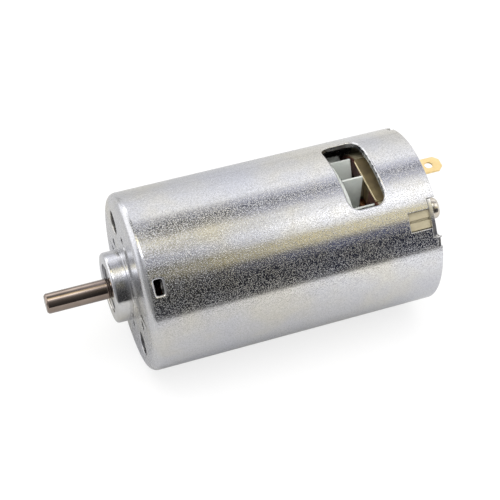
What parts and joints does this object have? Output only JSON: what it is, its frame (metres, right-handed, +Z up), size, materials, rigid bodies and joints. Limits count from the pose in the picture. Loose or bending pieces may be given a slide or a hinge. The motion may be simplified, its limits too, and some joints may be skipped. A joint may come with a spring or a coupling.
{
  "type": "electric motor",
  "caption": "Brushed DC motor with a drawn steel can, stepped boss and plain shaft, ball bearings, an internal fan behind side windows and rear tab terminals.",
  "frame": {"origin": "centre of the can's front face, on the shaft axis", "axes": "+X along the shaft axis to the rear (the output shaft points to -X), +Z up through the upper cooling window, Y across"},
  "size_m": [0.1017, 0.0444, 0.0445],
  "materials": {
    "plated_can": "zinc-plated drawn steel, fine orange-peel grain, semi-gloss",
    "plated_plate": "zinc-plated sheet, satin",
    "housing_plastic": "beige moulded phenolic, matt",
    "brass": "stamped sheet, bright",
    "carbon": "copper-graphite, matt",
    "spring_steel": "bright spring steel",
    "copper": "bare copper, satin",
    "screw_nickel": "nickel-plated, semi-gloss",
    "ferrite": "sintered ferrite, matt",
    "shaft_steel": "ground and polished",
    "lamination_steel": "stacked laminations, oiled",
    "insulation_fibre": "red-brown vulcanised fibre",
    "enamelled_copper": "enamelled wire, glossy",
    "moulding_compound": "brown moulding compound",
    "fan_plastic": "natural moulded nylon, slightly translucent",
    "bearing_steel": "ground bearing steel",
    "bearing_shield": "pressed sheet steel"
  },
  "bodies": {
    "stator": {"motor_can": "plated_can", "end_plate": "plated_plate", "brush_housing": "housing_plastic", "brush_tube_top": "brass", "brush_tube_bottom": "brass", "brush_spring_top": "spring_steel", "brush_spring_bottom": "spring_steel", "brush_pigtail_top": "copper", "brush_pigtail_bottom": "copper", "terminal_top": "brass", "terminal_bottom": "brass", "end_screws": "screw_nickel", "spring_washers": "spring_steel", "magnet_top": "ferrite", "magnet_bottom": "ferrite", "magnet_clip_near": "spring_steel", "magnet_clip_far": "spring_steel", "rear_wave_washer": "spring_steel", "front_bearing_outer_ring": "bearing_steel", "front_bearing_shields": "bearing_shield", "rear_bearing_outer_ring": "bearing_steel", "rear_bearing_shields": "bearing_shield"},
    "rotor": {"shaft": "shaft_steel", "armature_core": "lamination_steel", "front_insulator": "insulation_fibre", "rear_insulator": "insulation_fibre", "slot_liners": "insulation_fibre", "armature_winding": "enamelled_copper", "commutator_bars": "copper", "commutator_hub": "moulding_compound", "coil_leads": "enamelled_copper", "cooling_fan": "fan_plastic", "front_spacer": "shaft_steel", "rear_spacer": "shaft_steel", "front_bearing_inner_ring": "bearing_steel", "rear_bearing_inner_ring": "bearing_steel"},
    "front_ball_set": {"front_bearing_balls": "bearing_steel", "front_bearing_cage": "bearing_shield"},
    "rear_ball_set": {"rear_bearing_balls": "bearing_steel", "rear_bearing_cage": "bearing_shield"},
    "brush_top": {"carbon_brush_top": "carbon"},
    "brush_bottom": {"carbon_brush_bottom": "carbon"}
  },
  "joints": [
    {"name": "rotor_spin", "type": "hinge", "parent": "stator", "child": "rotor", "pos_m": [0, 0, 0], "axis": [1, 0, 0], "continuous": true},
    {"name": "front_balls_spin", "type": "hinge", "parent": "stator", "child": "front_ball_set", "pos_m": [-0.0017, 0, 0], "axis": [1, 0, 0], "continuous": true},
    {"name": "rear_balls_spin", "type": "hinge", "parent": "stator", "child": "rear_ball_set", "pos_m": [0.0731, 0, 0], "axis": [1, 0, 0], "continuous": true},
    {"name": "brush_top_slide", "type": "slide", "parent": "stator", "child": "brush_top", "axis": [0, 0, 1], "range_m": [0, 0.0018], "stiffness_N_per_m": 150, "springref_m": -0.004, "deforming": ["brush_spring_top", "brush_pigtail_top"]},
    {"name": "brush_bottom_slide", "type": "slide", "parent": "stator", "child": "brush_bottom", "axis": [0, 0, -1], "range_m": [0, 0.0018], "stiffness_N_per_m": 150, "springref_m": -0.004, "deforming": ["brush_spring_bottom", "brush_pigtail_bottom"]}
  ],
  "couplings": [
    {"joint": "front_balls_spin", "follows": "rotor_spin", "ratio": 0.369},
    {"joint": "rear_balls_spin", "follows": "rotor_spin", "ratio": 0.369}
  ]
}
